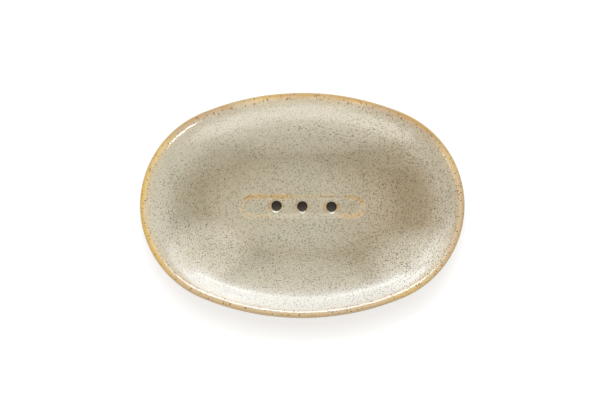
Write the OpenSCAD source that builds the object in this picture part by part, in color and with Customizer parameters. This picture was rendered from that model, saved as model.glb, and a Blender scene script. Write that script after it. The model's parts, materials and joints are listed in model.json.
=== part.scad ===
// Oval soap dish of glazed stoneware: a pressed bowl with a rounded lip, a shallow drain well along
// the middle of its floor, three round drain holes, a bare foot ring and four silicone bumper pads.
// X runs along the dish and Y across it, from the front to the back. The origin is on the counter,
// below the middle of the dish, and Z points up. Lengths are in millimetres, angles in degrees.

/* [Outline] */
// Length of the dish over its lip
dish_length = 144; // [136:1:152]
// Width of the dish over its lip
dish_width = 100; // [96:1:106]

/* [Section] */
// Height of the lip's top above the counter
dish_height = 27; // [25:0.5:30]
// Thickness of the glazed wall, which the lip rounds off
wall_thickness = 4; // [3.4:0.1:4.6]
// Slope of the flared rim
rim_slope = 14; // [11:1:17]
// Plan run of the straight part of the rim
rim_run = 7; // [5:0.5:9]
// Radius of the bend from the rim down into the wall, at the middle of its thickness
shoulder_radius = 22; // [19:1:24]
// Slope of the wall
wall_slope = 42; // [40:1:45]
// Radius of the bend from the wall to the floor, at the middle of its thickness
cove_radius = 22; // [19:0.5:24]
// Fall of the floor towards the well
floor_slope = 3; // [1:0.5:5]
// Thickness of the floor at the well's edge, with its glaze
floor_thickness = 4.2; // [3.8:0.1:5]
// Thickness of the glaze
glaze_thickness = 0.4; // [0.2:0.05:0.5]

/* [Well and drain holes] */
// Length of the well over its upper edge
well_length = 56.8; // [56:0.2:60]
// Width of the well over its upper edge
well_width = 10.6; // [9.6:0.2:12]
// Plan run of the well's sloping side
well_side_run = 1.8; // [1.4:0.1:2.2]
// Depth of the well
well_depth = 1.3; // [0.9:0.1:1.6]
// Diameter of a drain hole inside its glaze
drain_diameter = 4.6; // [4:0.1:5.2]

/* [Foot] */
// Plan distance from the lip's edge to the outside of the foot
foot_inset = 27; // [26:0.5:28]
// Width of the foot ring
foot_width = 7; // [6.6:0.2:8]
// Height of the foot ring below the glazed underside
foot_height = 3; // [2.5:0.1:4]
// Rounding of the foot ring's lower edges
foot_rounding = 0.5; // [0.2:0.1:0.6]

/* [Bumper pads] */
// Diameter of a bumper pad
pad_diameter = 5.6; // [5:0.2:5.8]
// Height of a bumper pad
pad_height = 1.5; // [1.2:0.1:2]
// Rounding of a bumper pad's lower edge
pad_rounding = 0.6; // [0.3:0.1:0.9]

/* [Hidden] */
$fn = 120;

glaze_colour = [0.75, 0.71, 0.60];
clay_colour = [0.72, 0.58, 0.42];
pad_colour = [0.88, 0.89, 0.88];

// The outline is an oval of four arcs. Each end arc has its centre on X and each side arc on Y, and
// the arcs meet on the line through both centres. With the middle of the dish the two centres make a
// right triangle: these are its sides along X and Y and its long side, in proportion.
meeting_shares = [5, 12, 13];
meeting_unit = (dish_length - dish_width) / 2 / (meeting_shares[0] + meeting_shares[1] - meeting_shares[2]);
end_centre_x = meeting_unit * meeting_shares[0];
side_centre_y = meeting_unit * meeting_shares[1];
end_radius = dish_length / 2 - end_centre_x;
side_radius = end_radius + meeting_unit * meeting_shares[2];
meeting_angle = atan(meeting_shares[0] / meeting_shares[1]);

// Heights above the counter.
base_z = pad_height + foot_height;
floor_z = base_z + floor_thickness;
well_z = floor_z - well_depth;

// The section is drawn with the plan distance inwards from the lip's edge on x and the height on y.
// Its middle line starts at the centre of the lip and runs down the rim, shoulder, wall and cove.
// down(slope) points along a slope, and above(slope) is square to it and points up.
function down(slope) = [cos(slope), -sin(slope)];
function above(slope) = [sin(slope), cos(slope)];

half_wall = wall_thickness / 2;
lip_centre = [half_wall, dish_height - half_wall];
rim_end = lip_centre + down(rim_slope) * rim_run / cos(rim_slope);
shoulder_centre = rim_end - above(rim_slope) * shoulder_radius;
wall_start = shoulder_centre + above(wall_slope) * shoulder_radius;

// The wall runs on until the floor beyond the cove comes down to floor_z at the end arc's centre.
cove_turn = (above(wall_slope) - above(floor_slope)) * cove_radius;
floor_start_at_once = wall_start + cove_turn + above(floor_slope) * half_wall;
floor_fall_at_once = (end_radius - floor_start_at_once[0]) * tan(floor_slope);
wall_run = (floor_start_at_once[1] - floor_fall_at_once - floor_z) / (tan(wall_slope) - tan(floor_slope));
cove_centre = wall_start + down(wall_slope) * wall_run / cos(wall_slope) + above(wall_slope) * cove_radius;

// Points on an arc between two polar angles, no more than a step apart: a fine step for the bends,
// which are broad, and a coarse one for the rounded edges.
bend_step = 4;
edge_step = 12;
function arc(centre, radius, from, to, step) =
    let (count = ceil(abs(to - from) / step))
    [for (k = [0:count]) let (a = from + (to - from) * k / count) centre + radius * [cos(a), sin(a)]];

// The well's end arcs have their centres here. Its side slopes at this angle.
well_end_x = (well_length - well_width) / 2;
well_side_angle = atan(well_depth / well_side_run);

// Places of the drain holes, as shares of the well's half length and half width.
drain_place_shares = [[-0.41, 0.05], [0, 0], [0.465, -0.03]];

// The foot ring is bare clay, so its sides stand back from the glazed base by the glaze. Each pad
// sits on the ring's middle line, turned this share of the meeting angle from the short axis.
foot_outer = foot_inset + glaze_thickness;
foot_middle = foot_outer + foot_width / 2;
pad_turn_share = 0.8;
pad_turn = meeting_angle * pad_turn_share;
pad_reach = side_radius - foot_middle;
pad_place = [pad_reach * sin(pad_turn), pad_reach * cos(pad_turn) - side_centre_y];

// How far a cutting shape reaches past the surface that it cuts.
overrun = 1;

// How far the end sectors of the plan reach over the side ones, and the share of its own depth by
// which a side sector reaches past the middle.
end_lap = 0.00001;
side_lap_share = 0.004;

// The section's faces, from the outside of the lip inwards. skin takes that much off every face, down
// to the bare clay. The upper face runs down the floor to just past the middle of the dish, and the
// lower one to the bottom of the cove.
middle_reach = dish_width / 2 + overrun;
function upper_face(skin) =
    let (half = half_wall - skin, floor_start = cove_centre - above(floor_slope) * (cove_radius - half))
    [
        each arc(lip_centre, half, 180, 90, edge_step),
        each arc(lip_centre, half, 90, 90 - rim_slope, edge_step),
        each arc(shoulder_centre, shoulder_radius + half, 90 - rim_slope, 90 - wall_slope, bend_step),
        each arc(cove_centre, cove_radius - half, 270 - wall_slope, 270 - floor_slope, bend_step),
        [middle_reach, floor_start[1] - (middle_reach - floor_start[0]) * tan(floor_slope)]
    ];
function lower_face(skin) =
    let (half = half_wall - skin)
    [
        each arc(lip_centre, half, 180, 270 - rim_slope, edge_step),
        each arc(shoulder_centre, shoulder_radius - half, 90 - rim_slope, 90 - wall_slope, bend_step),
        each arc(cove_centre, cove_radius + half, 270 - wall_slope, 270, bend_step)
    ];

// A face as far in as a plan distance, and the same points in the opposite order but for the first.
function face_to(face, distance) =
    [for (p = face) if (p[0] < distance) p, [distance, lookup(distance, face)]];
function back_along(face) = [for (k = [len(face) - 1:-1:1]) face[k]];

// The section of the wall, and of the floor as far in as inner.
module wall_section(skin, inner) {
    foot_x = foot_inset + skin;
    polygon([
        each face_to(upper_face(skin), inner),
        [inner, base_z + skin],
        [foot_x, base_z + skin],
        each back_along(face_to(lower_face(skin), foot_x))
    ]);
}

// A tall prism over part of the plan, between the lines on which the arcs meet. Each corner counts
// steps from the middle: to the end arc's centre, and on to a point far out on the meeting line. lap
// shifts the prism over its neighbours.
module plan_sector(corners, lap = 0) {
    far_share = 0.1;
    far = dish_width * far_share * meeting_shares;
    translate([0, 0, -overrun])
        linear_extrude(dish_height + 2 * overrun)
            polygon([for (c = corners) [c[0] * end_centre_x + c[1] * far[0] - lap, c[2] * far[1]]]);
}

// Carries a section round the four arcs of the outline: the first child at the ends, the last one
// along the sides. So that all four unite, each end laps over the sides, and the sides lap over each
// other in the middle.
module round_the_oval() {
    for (flip = [0, 1])
        mirror([flip, 0, 0])
            intersection() {
                translate([end_centre_x, 0, 0])
                    rotate_extrude()
                        translate([end_radius, 0])
                            mirror([1, 0])
                                children(0);
                plan_sector([[1, 0, 0], [1, 1, -1], [1, 2, -1], [1, 2, 1], [1, 1, 1]], end_lap);
            }
    for (flip = [0, 1])
        mirror([0, flip, 0])
            intersection() {
                translate([0, -side_centre_y, 0])
                    rotate_extrude($fn = 360)
                        translate([side_radius, 0])
                            mirror([1, 0])
                                children($children - 1);
                plan_sector([[-1, 0, 0], [0, 0, -side_lap_share], [1, 0, 0], [1, 1, 1], [-1, -1, 1]]);
            }
}

// The hollow of the well, and of the bowl above it as its side slopes on. It is cut down to the bare
// clay when skin is the glaze.
module well_hollow(skin) {
    spread = skin / sin(well_side_angle);
    low = well_z - skin;
    high = dish_height + overrun;
    grade = well_side_run / well_depth;
    low_half = well_width / 2 + spread - (floor_z - low) * grade;
    high_half = well_width / 2 + spread + (high - floor_z) * grade;
    translate([-well_end_x, 0, 0])
        rotate([90, 0, 90])
            linear_extrude(2 * well_end_x)
                polygon([[-low_half, low], [low_half, low], [high_half, high], [-high_half, high]]);
    for (flip = [0, 1])
        mirror([flip, 0, 0])
            translate([well_end_x, 0, 0])
                rotate([0, 0, -90])
                    rotate_extrude(angle = 180)
                        polygon([[0, low], [low_half, low], [high_half, high], [0, high]]);
}

// The bored drain holes, wider by the glaze in the bare clay.
module drain_holes(skin) {
    for (share = drain_place_shares)
        translate([share[0] * well_length / 2, share[1] * well_width / 2, base_z - overrun])
            cylinder(d = drain_diameter + 2 * skin, h = floor_thickness + 2 * overrun);
}

// The whole dish down to a skin below its glazed surface.
module dish_form(skin) {
    difference() {
        round_the_oval() {
            wall_section(skin, end_radius);
            wall_section(skin, middle_reach);
        }
        well_hollow(skin);
        drain_holes(skin);
    }
}

// Fired clay bowl under the glaze.
module stoneware_body() {
    color(clay_colour)
        dish_form(glaze_thickness);
}

// The section of the foot ring, as far in as inner.
module ring_section(inner) {
    top = base_z + glaze_thickness;
    low = pad_height + foot_rounding;
    polygon([
        [foot_outer, top],
        each arc([foot_outer + foot_rounding, low], foot_rounding, 180, 270, edge_step),
        each arc([inner - foot_rounding, low], foot_rounding, 270, 360, edge_step),
        [inner, top]
    ]);
}

// Bare clay ring, luted to the underside of the bowl before firing. Round the ends it can be no wider
// than the arc.
module foot_ring() {
    inner = foot_outer + foot_width;
    color(clay_colour)
        round_the_oval() {
            ring_section(min(inner, end_radius));
            ring_section(inner);
        }
}

// Glaze over all of the bowl but the ring's seat. It runs over the lip and lines the drain holes.
module glaze_coat() {
    color(glaze_colour)
        difference() {
            dish_form(0);
            dish_form(glaze_thickness);
            foot_ring();
        }
}

// Round silicone pad with a flat top stuck to the foot ring. side and depth choose its corner.
module bumper_pad(side, depth) {
    pad_radius = pad_diameter / 2;
    color(pad_colour)
        translate([side * pad_place[0], depth * pad_place[1], 0])
            rotate_extrude()
                polygon([
                    [0, 0],
                    each arc([pad_radius - pad_rounding, pad_rounding], pad_rounding, 270, 360, edge_step),
                    [pad_radius, pad_height],
                    [0, pad_height]
                ]);
}

stoneware_body();
foot_ring();
glaze_coat();
bumper_pad(-1, -1);  // bumper_pad_front_left
bumper_pad(1, -1);  // bumper_pad_front_right
bumper_pad(-1, 1);  // bumper_pad_back_left
bumper_pad(1, 1);  // bumper_pad_back_right
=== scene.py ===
"""Looks of an oval stoneware soap dish: a speckled glazed bowl, a bare clay foot and four silicone pads.

X runs along the dish, Y from its front to its back and Z up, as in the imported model. The sizes in the
classes are millimetres and degrees, but for the studio's. Meshes are built in metres.
"""

from __future__ import annotations

import functools
import json
import logging
import math
from collections.abc import Iterable
from dataclasses import dataclass
from enum import Enum
from typing import NamedTuple

import bmesh
import bpy
from mathutils import Matrix, Vector, noise

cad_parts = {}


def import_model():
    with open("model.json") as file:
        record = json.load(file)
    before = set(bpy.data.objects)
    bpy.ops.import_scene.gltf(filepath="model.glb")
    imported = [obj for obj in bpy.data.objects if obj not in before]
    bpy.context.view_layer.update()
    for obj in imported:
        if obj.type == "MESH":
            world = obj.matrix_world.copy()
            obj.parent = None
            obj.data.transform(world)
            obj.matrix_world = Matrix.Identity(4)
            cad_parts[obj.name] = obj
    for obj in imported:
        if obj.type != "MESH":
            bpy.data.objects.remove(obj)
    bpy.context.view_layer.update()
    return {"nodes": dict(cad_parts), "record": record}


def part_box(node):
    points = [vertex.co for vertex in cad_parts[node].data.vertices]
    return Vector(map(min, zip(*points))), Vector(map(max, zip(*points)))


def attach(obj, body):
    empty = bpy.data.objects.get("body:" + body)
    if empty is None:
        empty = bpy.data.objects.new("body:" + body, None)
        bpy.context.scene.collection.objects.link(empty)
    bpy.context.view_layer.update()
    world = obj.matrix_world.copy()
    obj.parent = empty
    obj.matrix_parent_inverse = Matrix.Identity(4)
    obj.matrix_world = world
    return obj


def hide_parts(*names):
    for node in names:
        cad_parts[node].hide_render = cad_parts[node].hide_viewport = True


LOG = logging.getLogger("soap_dish")
MM = 0.001
UP = Vector((0, 0, 1))
MERGE_DISTANCE = 0.001 * MM
RIM_LAYER = "rim"
Colour = tuple[float, float, float]
Socket = bpy.types.NodeSocket
Verts = list[bmesh.types.BMVert]
Edges = list[bmesh.types.BMEdge]


def linear(red: float, green: float, blue: float) -> Colour:
    """Turns a screen colour of 0 to 255 into the linear colour that a shader takes.

    Args:
        red: Red on the screen.
        green: Green on the screen.
        blue: Blue on the screen.

    Returns:
        The same colour as linear values of 0 to 1.
    """
    white, knee, slope, offset, power = 255, 0.04045, 12.92, 0.055, 2.4
    channels = []
    for value in (red, green, blue):
        share = value / white
        channels.append(share / slope if share <= knee else ((share + offset) / (1 + offset)) ** power)
    return tuple(channels)


def polar(angle: float) -> Vector:
    """Unit vector of a section's plane at an angle in degrees from the inward direction."""
    return Vector((math.cos(math.radians(angle)), math.sin(math.radians(angle))))


class Fade(NamedTuple):
    """Smooth change from start, where a value is at low, to end, where it is at high."""

    low: float
    high: float
    start: float = 0
    end: float = 1


class Cloud(NamedTuple):
    """Noise of 0 to 1 whose blotches are about size millimetres across."""

    size: float
    detail: float = 2
    rough: float = 0.5


class Blotches(NamedTuple):
    """Noise that a fade sharpens into blotches."""

    cloud: Cloud
    fade: Fade


class Sway(NamedTuple):
    """Noise that shifts a place or an edge by up to half a reach, in millimetres, to either side."""

    cloud: Cloud
    reach: float


class NodeSheet:
    """Node tree of a finish or of the room, with short calls that add nodes and link them."""

    def __init__(self, owner: bpy.types.Material | bpy.types.World) -> None:
        """Starts with an empty tree.

        Args:
            owner: What the nodes dress.
        """
        owner.use_nodes = True
        self.owner = owner
        self.tree = owner.node_tree
        self.tree.nodes.clear()

    def add(self, kind: str, inputs: dict | None = None, **settings: object) -> bpy.types.Node:
        """Adds a node, sets it and links or fills its inputs.

        Args:
            kind: Blender's name of the node type.
            inputs: Sockets or plain values, by input name or number.
            settings: Properties of the node.

        Returns:
            The new node.
        """
        node = self.tree.nodes.new(kind)
        for key, value in settings.items():
            setattr(node, key, value)
        for key, value in (inputs or {}).items():
            if isinstance(value, Socket):
                self.tree.links.new(value, node.inputs[key])
            elif isinstance(value, tuple) and node.inputs[key].type == "RGBA":
                node.inputs[key].default_value = (*value, 1)
            else:
                node.inputs[key].default_value = value
        return node

    def math(self, operation: str, *values: object, clamp: bool = False) -> Socket:
        """Adds a Math node and returns its value."""
        inputs = dict(enumerate(values))
        return self.add("ShaderNodeMath", inputs, operation=operation, use_clamp=clamp).outputs[0]

    def fold(self, operation: str, values: Iterable[object]) -> Socket:
        """Joins values one after another by the same Math operation."""
        return functools.reduce(lambda first, second: self.math(operation, first, second), values)

    def product(self, *values: object) -> Socket:
        """Multiplies two or more values."""
        return self.fold("MULTIPLY", values)

    def vector(self, operation: str, *values: object, out: int = 0) -> Socket:
        """Adds a Vector Math node, whose output 1 is a length, and returns the output asked for."""
        inputs = dict(zip((0, "Scale" if operation == "SCALE" else 1), values))
        return self.add("ShaderNodeVectorMath", inputs, operation=operation).outputs[out]

    def parts(self, vector: Socket) -> tuple[Socket, ...]:
        """Splits a vector into its three values."""
        return tuple(self.add("ShaderNodeSeparateXYZ", {0: vector}).outputs)

    def blend(self, share: object, first: object, second: object) -> Socket:
        """Mixes two colours.

        Args:
            share: How much of the second colour shows.
            first: Colour or socket below.
            second: Colour or socket above.

        Returns:
            The mixed colour's socket.
        """
        share_input, first_input, second_input, colour_output = 0, 6, 7, 2
        inputs = {share_input: share, first_input: first, second_input: second}
        return self.add("ShaderNodeMix", inputs, data_type="RGBA").outputs[colour_output]

    def coats(self, colour: object, layers: Iterable[tuple[object, object]]) -> Socket:
        """Lays colours over one another.

        Args:
            colour: Colour or socket at the bottom.
            layers: How much each coat covers, and its colour.

        Returns:
            The socket of the colour that shows.
        """
        for share, coat in layers:
            colour = self.blend(share, colour, coat)
        return colour

    def fade(self, value: object, fade: Fade) -> Socket:
        """Fades a value.

        Args:
            value: Value or socket.
            fade: Where the change starts and ends, and its own two values.

        Returns:
            A value between the fade's start and end, held at them outside low to high.
        """
        low, high, start, end = fade
        inputs = {"Value": value, "From Min": low, "From Max": high, "To Min": start, "To Max": end}
        return self.add("ShaderNodeMapRange", inputs, interpolation_type="SMOOTHSTEP").outputs[0]

    def noise(self, place: Socket, cloud: Cloud) -> bpy.types.Node:
        """Adds the texture of a cloud.

        Args:
            place: Place at which it is read, in millimetres.
            cloud: The cloud.

        Returns:
            The texture's node.
        """
        size, detail, rough = cloud
        inputs = {"Vector": place, "Scale": 1 / size, "Detail": detail, "Roughness": rough}
        return self.add("ShaderNodeTexNoise", inputs)

    def cloud(self, place: Socket, cloud: Cloud) -> Socket:
        """Value of a cloud at a place."""
        return self.noise(place, cloud).outputs["Fac"]

    def blotches(self, place: Socket, blotches: Blotches) -> Socket:
        """Value of blotches at a place."""
        return self.fade(self.cloud(place, blotches.cloud), blotches.fade)

    def sway(self, place: Socket, sway: Sway) -> Socket:
        """Shift of an edge at a place."""
        return self.math("MULTIPLY_ADD", self.cloud(place, sway.cloud), sway.reach, -sway.reach / 2)

    def shaken(self, pattern: Socket, place: Socket, sway: Sway) -> Socket:
        """Shifts the place at which a pattern is read, so that its specks get ragged edges.

        Args:
            pattern: Place on the pattern.
            place: Place on the piece, which picks the shift.
            sway: The shift.

        Returns:
            The shifted place on the pattern.
        """
        middle = (0.5, 0.5, 0.5)
        swirl = self.vector("SUBTRACT", self.noise(place, sway.cloud).outputs["Color"], middle)
        return self.vector("ADD", pattern, self.vector("SCALE", swirl, sway.reach))

    def place(self) -> Socket:
        """Place on the piece in millimetres."""
        return self.vector("SCALE", self.add("ShaderNodeTexCoord").outputs["Object"], 1 / MM)

    def seen(self) -> Socket:
        """Tells what the camera sees, straight or by gloss or glass, from what only gives light.

        Returns:
            1 for what is seen and 0 for the rest.
        """
        rays = self.add("ShaderNodeLightPath").outputs
        kinds = ("Is Camera Ray", "Is Glossy Ray", "Is Transmission Ray")
        return self.fold("MAXIMUM", (rays[kind] for kind in kinds))

    def dimples(self, height: Socket, depth: float) -> Socket:
        """Normal of a skin with dimples of a depth in millimetres."""
        return self.add("ShaderNodeBump", {"Height": height, "Distance": depth * MM}).outputs[0]

    def finish(self, shader: bpy.types.Node, output: str = "ShaderNodeOutputMaterial") -> bpy.types.ID:
        """Links a shader to the tree's output and returns what the nodes dress."""
        self.add(output, {"Surface": shader.outputs[0]})
        return self.owner

    def dress(self, inputs: dict) -> bpy.types.Material:
        """Ends a material with a Principled shader that has these inputs."""
        return self.finish(self.add("ShaderNodeBsdfPrincipled", inputs))


class Spot:
    """Where a point of the glaze lies, in millimetres.

    Its rim holds the place of the outline straight out from it and, as a third value, its run: the way
    in along the section from the lip's crest, which is below zero on the outside.
    """

    def __init__(self, sheet: NodeSheet) -> None:
        """Reads the spot from the piece's place and its rim layer.

        Args:
            sheet: The glaze's nodes.
        """
        self.place = sheet.place()
        self.along, self.across, self.height = sheet.parts(self.place)
        self.rim = sheet.add("ShaderNodeAttribute", attribute_name=RIM_LAYER).outputs["Vector"]
        _, self.outline_y, self.run = sheet.parts(self.rim)


@dataclass(frozen=True)
class Speckle:
    """One size of speck in the glaze. Each cell of the pattern holds one speck or none.

    A speck's own radius lies between half of the radius here and all of it.
    """

    cell: float
    radius: float
    presence: float
    strength: float
    seed: float
    softness: float = 0.3

    def mask(self, sheet: NodeSheet, place: Socket) -> tuple[Socket, Socket]:
        """Adds the pattern to a material.

        Args:
            sheet: The material's nodes.
            place: Place in millimetres, already shaken for ragged edges.

        Returns:
            How strongly a speck covers the glaze, and a random value for its colour.
        """
        moved = sheet.vector("ADD", place, (self.seed, -self.seed, self.seed / 2))
        cells = sheet.add("ShaderNodeTexVoronoi", {"Vector": moved, "Scale": 1 / self.cell})
        random = sheet.add("ShaderNodeSeparateColor", {0: cells.outputs["Color"]})
        here = sheet.math("LESS_THAN", random.outputs[0], self.presence)
        size = self.radius / self.cell
        edge = sheet.math("MULTIPLY_ADD", random.outputs[1], size / 2, size / 2)
        inside = sheet.math("SUBTRACT", edge, cells.outputs["Distance"])
        cover = sheet.math("DIVIDE", inside, size * self.softness, clamp=True)
        return sheet.product(cover, here, self.strength), random.outputs[2]


@dataclass(frozen=True)
class Flow:
    """Soft oval patch in plan, whole near its middle and gone a little past its edge."""

    x: float
    y: float
    length: float
    width: float
    strength: float
    whole_share: float = 0.5
    gone_share: float = 1.2

    def share(self, sheet: NodeSheet, place: Socket) -> Socket:
        """Finds how much of the patch there is at a place.

        Args:
            sheet: The material's nodes.
            place: Place in millimetres.

        Returns:
            Its strength, or less towards the patch's edge.
        """
        offset = sheet.vector("SUBTRACT", place, (self.x, self.y, 0))
        scaled = sheet.vector("MULTIPLY", offset, (2 / self.length, 2 / self.width, 0))
        fade = Fade(self.gone_share, self.whole_share, 0, self.strength)
        return sheet.fade(sheet.vector("LENGTH", scaled, out=1), fade)


def strongest(sheet: NodeSheet, place: Socket, flows: Iterable[Flow]) -> Socket:
    """Strongest share of several patches at a place."""
    return sheet.fold("MAXIMUM", (flow.share(sheet, place) for flow in flows))


@dataclass(frozen=True)
class SpeckledGlaze:
    """Grey and cream glaze with iron specks, glossy on the rim and satin inside.

    It breaks to gold and tan over the lip and to amber along the well, where it runs thin. A cover is
    the most that a colour hides of what is below it. Fades down the section are millimetres in from
    the lip's crest, and fades about a drain are millimetres out from its wall.
    """

    # Colours
    # Painted light: a paler cream for the light and sheen that the rim catches
    painted_light_pale: Colour = linear(200, 189, 165)
    cream: Colour = linear(191, 182, 156)
    grey: Colour = linear(181, 174, 151)
    green: Colour = linear(182, 179, 152)
    # Painted light: a paler cream laid where the rim catches light and reflections, and down the well's
    # side against its shade
    painted_light_cream: Colour = linear(222, 213, 190)
    # Warm tone, also used as painted shade to the right and in the cove
    warm: Colour = linear(170, 152, 121)
    chalk: Colour = linear(214, 205, 182)
    # Amber where the glaze breaks thin at the well's edge, brightened as painted light against the shade of
    # the well's side
    amber: Colour = linear(224, 184, 120)
    gold: Colour = linear(226, 184, 92)
    caramel: Colour = linear(184, 150, 98)
    ochre: Colour = linear(186, 144, 80)
    tan: Colour = linear(213, 179, 128)
    rust: Colour = linear(134, 88, 40)
    brown: Colour = linear(76, 60, 22)
    umber: Colour = linear(118, 88, 34)

    # Ground colour, with painted light on the rim and painted shade to the right and in the cove
    grey_blotches: Blotches = Blotches(Cloud(24, 3), Fade(0.35, 0.65))
    green_blotches: Blotches = Blotches(Cloud(9, 4, 0.6), Fade(0.4, 0.75))
    warm_grain: Blotches = Blotches(Cloud(0.8, 4, 0.65), Fade(0.35, 0.75, 0, 0.35))
    # Painted shade: darker towards the right, where less light falls
    painted_shade_rightwards: Fade = Fade(-5, 62, 0, 0.95)
    # Painted shade: darker in the cove, where the walls shade the floor
    painted_cove_shade: Fade = Fade(21, 29, 0, 0.22)
    # Painted light: paler towards the rim
    painted_rim_light: Fade = Fade(17, 7, 0, 0.65)
    floor_middle: Flow = Flow(0, 0, 84, 30, 1.0)
    warm_places: tuple[Flow, ...] = (
        Flow(-26, 3, 84, 30, 0.3),
        Flow(-36, 11, 36, 26, 0.4),
        Flow(36, -6, 46, 44, 0.3),
        Flow(-36, -12, 28, 16, 0.25),
    )
    # Painted light: paler patches about the rim, most at its back and front and at the front corners
    painted_light_places: tuple[Flow, ...] = (
        Flow(0, 34, 110, 24, 0.68),
        Flow(-43, -21, 40, 30, 0.9),
        Flow(50, -25, 44, 30, 0.8),
        Flow(0, -33, 74, 22, 0.48),
        Flow(0, 46, 120, 12, 0.75),
        Flow(42, 24, 40, 18, 0.15),
        Flow(-66, 2, 16, 60, 0.35),
        Flow(-44, 24, 40, 26, 0.25),
    )

    # Specks of the bowl, and streaks and specks where the glaze is thin
    flecks: Speckle = Speckle(cell=1.0, radius=0.4, presence=0.5, strength=0.12, seed=17.9)
    fine: Speckle = Speckle(cell=0.5, radius=0.225, presence=0.92, strength=1.0, seed=3.7)
    coarse: Speckle = Speckle(cell=0.85, radius=0.33, presence=0.72, strength=1.0, seed=11.3)
    lip_streaks: Speckle = Speckle(cell=0.9, radius=0.36, presence=0.85, strength=0.95, seed=23.9)
    edge_specks: Speckle = Speckle(cell=1.2, radius=0.45, presence=0.6, strength=0.8, seed=31.1)
    speck_sway: Sway = Sway(Cloud(0.45, 1), 0.26)
    speck_tint: Fade = Fade(0.2, 0.9)
    crowd_blotches: Blotches = Blotches(Cloud(7, 3), Fade(0.35, 0.6, 0.72, 1.1))
    crowd_inwards: Fade = Fade(5, 17, 0.6, 1)
    crowd_rightwards: Fade = Fade(5, 40, 1, 1.9)
    crowd_forwards: Fade = Fade(28, 4, 0.85, 1.1)
    streak_sway: Sway = Sway(Cloud(0.6, 1), 0.5)
    streak_shares: tuple[float, float, float] = (1, 1, 0.5)
    streak_fade: Fade = Fade(2.2, 1)

    # Lip
    lip_cover: float = 0.92
    lip_sway: Sway = Sway(Cloud(6, 3), 1.4)
    lip_blotches: Blotches = Blotches(Cloud(14, 3), Fade(0.35, 0.6, 0.72, 1))
    lip_middle: float = -0.4
    lip_middle_share: float = 0.002
    lip_drop_share: float = 0.02
    lip_inner_edge: Fade = Fade(1.5, 0.2)
    lip_outer_edge: Fade = Fade(-4.2, -2.3)
    lip_skirt: Fade = Fade(4.6, 0.6, 0, 0.36)
    ochre_edge: Fade = Fade(-2.2, -0.8)
    ochre_places: tuple[Flow, ...] = (
        Flow(46, 38, 50, 40, 1.0),
        Flow(8, 50, 60, 14, 0.7),
        Flow(-44, 40, 50, 30, 1.0),
    )
    golden_places: tuple[Flow, ...] = (
        Flow(-62, 6, 70, 84, 1.0),
        Flow(54, 30, 44, 44, 1.0),
        Flow(0, 50, 150, 22, 0.75),
        Flow(50, -38, 30, 30, 0.5),
    )

    # Well and drain holes
    amber_cover: float = 0.85
    least_amber: float = 0.08
    well_sway: Sway = Sway(Cloud(5, 3), 1.3)
    well_blotches: Blotches = Blotches(Cloud(3, 4, 0.6), Fade(0.28, 0.52, 0.55, 1))
    well_line: Fade = Fade(1.7, 0.1)
    # Painted light: the well's side is lightened against its shade
    painted_well_light: Fade = Fade(1.5, 0.5, 0, 0.6)
    upper_face: Fade = Fade(5.5, 6.5)
    well_flows: tuple[Flow, ...] = (
        Flow(-17, 4.5, 30, 9, 1.0),
        Flow(-28, 0, 8, 10, 0.35),
        Flow(2, 5.5, 32, 9, 0.35),
        Flow(26, 3.5, 16, 9, 0.8),
        Flow(24, -4.5, 18, 8, 0.9),
        Flow(-22, -5, 20, 8, 0.4),
    )
    drain_line: Fade = Fade(2.6, 0.8)
    drain_flows: tuple[Flow, ...] = (
        Flow(-15.6, -0.2, 5.4, 6.4, 0.75),
        Flow(-9.2, 0.4, 2.8, 5.0, 0.35),
        Flow(-3.0, -0.3, 3.0, 5.0, 0.5),
        Flow(2.8, -0.3, 3.0, 5.0, 0.5),
        Flow(10.4, -0.5, 3.4, 5.6, 0.85),
        Flow(16.3, -0.4, 3.6, 5.6, 0.95),
    )

    # Gloss
    glossiest: float = 0.1
    outside_dullness: Fade = Fade(0.6, 0.2, 0, 0.4)
    rim_dullness: Fade = Fade(1.6, 4.5, 0.1, 0.13)
    bowl_dullness: Fade = Fade(8, 16, 0, 0.45)
    drain_dullness: Fade = Fade(0.85, 1.3)
    gloss_index: float = 1.58
    peel: Cloud = Cloud(2.6, 1)
    swell: Cloud = Cloud(9, 1)
    swell_share: float = 2
    peel_depth: float = 0.02

    def base_colour(self, sheet: NodeSheet, spot: Spot) -> Socket:
        """Mixes the glaze's ground, without specks or thin places, with painted light on the rim and
        painted shade to the right and in the cove.

        Args:
            sheet: The glaze's nodes.
            spot: Where it is.

        Returns:
            The colour.
        """
        place, run = spot.place, spot.run
        off_floor = sheet.math("SUBTRACT", 1, self.floor_middle.share(sheet, place))
        return sheet.coats(self.cream, (
            (sheet.blotches(place, self.grey_blotches), self.grey),
            (sheet.blotches(place, self.green_blotches), self.green),
            (sheet.fade(spot.along, self.painted_shade_rightwards), self.warm),
            (strongest(sheet, place, self.warm_places), self.warm),
            # Painted shade in the cove, off the floor's middle
            (sheet.product(off_floor, sheet.fade(run, self.painted_cove_shade)), self.warm),
            (sheet.fade(run, self.painted_rim_light), self.painted_light_pale),
            # Painted light on the rim
            (strongest(sheet, place, self.painted_light_places), self.painted_light_cream),
            (sheet.blotches(place, self.warm_grain), self.warm),
        ))

    def crowding(self, sheet: NodeSheet, spot: Spot) -> Socket:
        """Finds how strongly the bowl's specks show: more so inwards, to the right and to the front.

        Args:
            sheet: The glaze's nodes.
            spot: Where it is.

        Returns:
            The share of their strength, which may be over 1.
        """
        return sheet.product(
            sheet.blotches(spot.place, self.crowd_blotches),
            sheet.fade(spot.run, self.crowd_inwards),
            sheet.fade(spot.along, self.crowd_rightwards),
            sheet.fade(spot.across, self.crowd_forwards),
        )

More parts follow.
